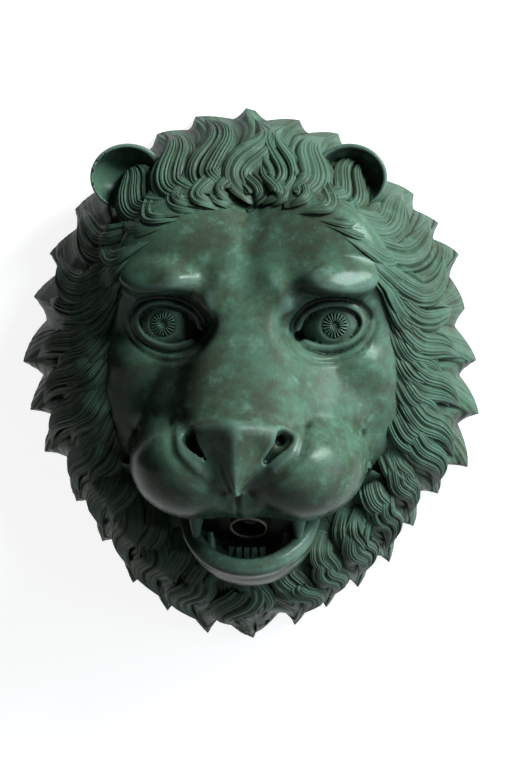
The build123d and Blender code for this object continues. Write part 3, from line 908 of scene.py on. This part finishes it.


# The near-black deep colours are dark patina and painted shade for the hollows.
skin = patina(
    "face_patina_and_shade", green=(0.05, 0.097, 0.063, 1), brown=(0.036, 0.046, 0.029, 1),
    deep=(0.005, 0.012, 0.007, 1), worn=(0.1, 0.16, 0.13, 1),
    gloss=0.1, sheen=0.1, metallic=0.02, dull=0.4,
)
hair = patina(
    "hair_patina_and_shade", green=(0.04, 0.08, 0.051, 1), brown=(0.03, 0.042, 0.025, 1),
    deep=(0.002, 0.006, 0.003, 1), worn=(0.07, 0.112, 0.084, 1),
    gloss=0.24, sheen=0.07, metallic=0.02,
)


# Pieces

def joined(parts):
    """Several parts as one."""
    verts, quads, ends, hollow, count = [], [], [], [], 0
    for v, q, e, h in parts:
        verts.append(v)
        quads.append(q + count)
        ends += [end + count for end in e]
        hollow.append(h)
        count += len(v)
    return np.concatenate(verts), np.concatenate(quads), ends, np.concatenate(hollow)


def add_piece(name, parts, material, nodes):
    """Makes one object of the parts, which rides on the head in place of its solids."""
    verts, quads, ends, hollow = joined(parts)
    world = np.stack([verts[:, 0], -verts[:, 1], verts[:, 2]], 1) * MM
    mesh = bpy.data.meshes.new(name)
    loops = np.concatenate([quads.ravel()] + ends).astype(np.int32)
    sizes = np.concatenate([np.full(len(quads), 4), [len(e) for e in ends]]).astype(np.int32)
    starts = np.concatenate([[0], np.cumsum(sizes)[:-1]]).astype(np.int32)
    mesh.vertices.add(len(world))
    mesh.vertices.foreach_set("co", world.astype(np.float32).ravel())
    mesh.loops.add(len(loops))
    mesh.loops.foreach_set("vertex_index", loops)
    mesh.polygons.add(len(starts))
    mesh.polygons.foreach_set("loop_start", starts)
    mesh.update(calc_edges=True)
    mesh.validate()
    mesh.polygons.foreach_set("use_smooth", np.ones(len(mesh.polygons), bool))
    mesh.attributes.new("hollow", "FLOAT", "POINT").data.foreach_set("value", hollow.astype(np.float32))
    mesh.materials.append(material)
    obj = bpy.data.objects.new(name, mesh)
    bpy.context.collection.objects.link(obj)
    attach(obj, "head")
    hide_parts(*nodes)


# Face, jaw and ears: the boxes that their nets fill

face_low, face_high, face_step = (-158, 66, -120), (158, 232, 214), 2.8
jaw_low, jaw_high, jaw_step = (-80, 66, -192), (80, 180, -68), 2.4
ear_across, ear_up, ear_near, ear_far, ear_step = 40, 36, 28, 104, 2.2

face = carve(face_rough, face_fine, face_low, face_high, face_step)
add_piece("face", [face, iris_disc(1), iris_disc(-1)], skin, ("face_mask",))
jaw = carve(jaw_field, jaw_field, jaw_low, jaw_high, jaw_step)
add_piece("jaw", [jaw], skin, ("lower_jaw",))
for name, x, z, opening in ears:
    field = ear_field(x, z, opening)
    low, high = (x - ear_across, ear_near, z - ear_up), (x + ear_across, ear_far, z + ear_up)
    add_piece(name + "_cup", [carve(field, field, low, high, ear_step)], skin, (name,))


# Mane: sections from bearing to bearing, each with its locks and its shell

sectors = (
    ("mane_crown", -48, 52),
    ("mane_right", 52, 138),
    ("mane_beard", 138, 222),
    ("mane_left", 222, 312),
)
mane = {name: [] for name, _, _ in sectors}
crown_to, side_from, tip_shift = 40, 75, 1.5
inner_count, inner_from = 34, 66
cheek_to, beard_from = 110, 140
hairline_count, hairline_from, hairline_step = 21, -72, 7.2


def grow(b, **shape):
    """Adds a lock that ends at bearing b to its section of the mane."""
    first = sectors[0][1]
    turned = (b - first) % 360 + first
    section = next(name for name, low, high in sectors if low <= turned < high)
    mane[section].append(lock(b, **shape))


# One long lock for each tip, bent more at the crown
for b, _ in tips:
    beta, side = around(b)
    more = rng.uniform(1.1, 1.5) if beta < crown_to else rng.uniform(0.95, 1.15)
    end = np.interp(beta, (crown_to, side_from), (0.9, 0.8)) + rng.uniform(-0.04, 0.04)
    width = np.interp(beta, (crown_to, side_from), (20, 16)) + rng.uniform(-2, 2)
    grow(
        b - tip_shift * side, start=0.02, end=end, width=width, height=6.5, lift=4,
        strands=rng.integers(10, 14), more=more,
    )
# An inner tier beside the cheeks and under the jaw
for k in range(inner_count):
    b = k * 360 / inner_count + rng.uniform(-3, 3)
    beta = around(b)[0]
    if beta > inner_from:
        start = np.interp(beta, (cheek_to, beard_from), (-0.04, -0.2))
        curl = np.interp(beta, (cheek_to, beard_from), (0.95, 0.6)) * rng.uniform(0.85, 1.15)
        grow(
            b, start=start, end=rng.uniform(0.5, 0.62), width=rng.uniform(12, 16), height=4.5, lift=4,
            strands=rng.integers(8, 11), more=curl,
        )
# Short locks along the hairline of the forehead
for k in range(hairline_count):
    b = hairline_from + hairline_step * k + rng.uniform(-1.5, 1.5)
    grow(
        b, start=-0.1, end=rng.uniform(0.46, 0.62), width=rng.uniform(9, 12), height=4, lift=3,
        strands=rng.integers(6, 9), more=rng.uniform(1.0, 1.5),
    )
for name, low, high in sectors:
    add_piece(name + "_locks", mane[name] + [base_shell(low, high)], hair, (name,))


# Pieces that keep their solids

# Way of the pipe's slanting end, where its worn rim starts along it, and the rim's colour
outlet = ((0, -0.7071, -0.7071), 0.1772, (0.6, 0.5, 0.42, 1))
finishes = {
    "copper": metal(
        "worn_copper", colour=(0.05, 0.035, 0.026, 1), dull=(0.015, 0.014, 0.012, 1),
        metallic=0.4, gloss=0.3, rim=outlet,
    ),
    "brass": metal(
        "dull_brass", colour=(0.35, 0.24, 0.09, 1), dull=(0.2, 0.14, 0.06, 1), metallic=0.8, gloss=0.3,
    ),
    "fibre": metal(
        "red_fibre", colour=(0.2, 0.035, 0.022, 1), dull=(0.13, 0.022, 0.016, 1), metallic=0.0, gloss=0.65,
    ),
    "steel": metal(
        "zinc_steel", colour=(0.42, 0.42, 0.42, 1), dull=(0.3, 0.31, 0.32, 1), metallic=0.8, gloss=0.3,
    ),
    "patina_bronze": skin,
}
for sub in frame["record"]["subparts"]:
    obj = frame["nodes"].get(sub["node"])
    if obj is not None:
        obj.data.materials.clear()
        obj.data.materials.append(finishes[sub["material_slot"]])


# Stage

stage_white, stage_roughness = 0.88, 0.9


def stage_plane(name, size, at, facing, grey):
    bpy.ops.mesh.primitive_plane_add(size=1, location=at)
    obj = bpy.context.object
    obj.name = name
    obj.scale = (*size, 1)
    obj.rotation_mode = "QUATERNION"
    obj.rotation_quaternion = Vector(facing).to_track_quat("Z", "Y")
    material, _, shader = new_material(name)
    shader.inputs["Base Color"].default_value = (grey, grey, grey, 1)
    shader.inputs["Roughness"].default_value = stage_roughness
    obj.data.materials.append(material)
    return material


def show_white(material):
    """Shows a plane as white to the camera and in reflections, with little light thrown on the object."""
    tree = material.node_tree
    shader = tree.nodes["Principled BSDF"]
    seen = tree.nodes.new("ShaderNodeLightPath").outputs
    shown = math_node(tree, "MAXIMUM", seen["Is Camera Ray"], seen["Is Transmission Ray"])
    shown = math_node(tree, "MAXIMUM", shown, seen["Is Glossy Ray"])
    shader.inputs["Emission Color"].default_value = (1, 1, 1, 1)
    feed(tree, shader.inputs["Emission Strength"], times(tree, shown, stage_white))


def clear_from_behind(material):
    """Lets views from behind see through a plane."""
    tree = material.node_tree
    choice = tree.nodes.new("ShaderNodeMixShader")
    feed(tree, choice.inputs[0], tree.nodes.new("ShaderNodeNewGeometry").outputs["Backfacing"])
    feed(tree, choice.inputs[1], tree.nodes["Principled BSDF"].outputs[0])
    feed(tree, choice.inputs[2], tree.nodes.new("ShaderNodeBsdfTransparent").outputs[0])
    feed(tree, tree.nodes["Material Output"].inputs[0], choice.outputs[0])


floor = stage_plane("floor", size=(12, 12), at=(0, 0, -0.75), facing=(0, 0, 1), grey=0.09)
show_white(floor)
backdrop = stage_plane("backdrop", size=(0.64, 0.92), at=(0, 0.002, -0.008), facing=(0, -1, 0), grey=0.35)
show_white(backdrop)
clear_from_behind(backdrop)


# Light

def area(name, at, size, power, colour):
    """A lamp that shines on the origin."""
    light = bpy.data.lights.new(name, "AREA")
    light.shape = "RECTANGLE"
    light.size, light.size_y = size
    light.energy = power
    light.color = colour
    obj = bpy.data.objects.new(name, light)
    bpy.context.collection.objects.link(obj)
    obj.location = at
    obj.rotation_mode = "QUATERNION"
    obj.rotation_quaternion = Vector(at).to_track_quat("Z", "Y")


area("key", at=(1.97, -0.75, 1.67), size=(1.2, 0.8), power=118, colour=(0.9, 0.98, 0.93))
area("window", at=(1.4, -1.25, 1.5), size=(0.6, 0.34), power=50, colour=(0.78, 0.9, 1))
area("sky", at=(2.0, -0.6, 0.3), size=(1.6, 1.6), power=48, colour=(0.68, 0.86, 1))
area("fill", at=(-2.2, -2.2, 0.6), size=(2, 2), power=1, colour=(1, 1, 0.75))

world_colour, world_strength = (1, 1, 0.8, 1), 0.02
world = bpy.data.worlds.new("studio")
bpy.context.scene.world = world
world.use_nodes = True
background = world.node_tree.nodes["Background"]
background.inputs["Color"].default_value = world_colour
background.inputs["Strength"].default_value = world_strength


# Camera: a little from the right and above, with the frame's height in metres at its distance

azimuth, elevation, distance = math.radians(5), math.radians(8), 1.8
aim_right, aim_up = -0.004, -0.0085
view_height, sensor_height, clip_end = 0.769, 36, 50
ca, sa, ce, se = math.cos(azimuth), math.sin(azimuth), math.cos(elevation), math.sin(elevation)
right = Vector((ca, sa, 0))
upward = Vector((-sa * se, ca * se, ce))
toward = Vector((sa * ce, -ca * ce, se))
place = right * aim_right + upward * aim_up + toward * distance
camera = bpy.data.objects.new("camera", bpy.data.cameras.new("camera"))
bpy.context.collection.objects.link(camera)
camera.matrix_world = Matrix((
    (right.x, upward.x, toward.x, place.x),
    (right.y, upward.y, toward.y, place.y),
    (right.z, upward.z, toward.z, place.z),
    (0, 0, 0, 1),
))
camera.data.sensor_fit = "VERTICAL"
camera.data.sensor_height = sensor_height
camera.data.lens = sensor_height * distance / view_height
camera.data.clip_end = clip_end
camera.data.dof.use_dof = False
scene = bpy.context.scene
scene.camera = camera
scene.view_settings.view_transform = "Standard"
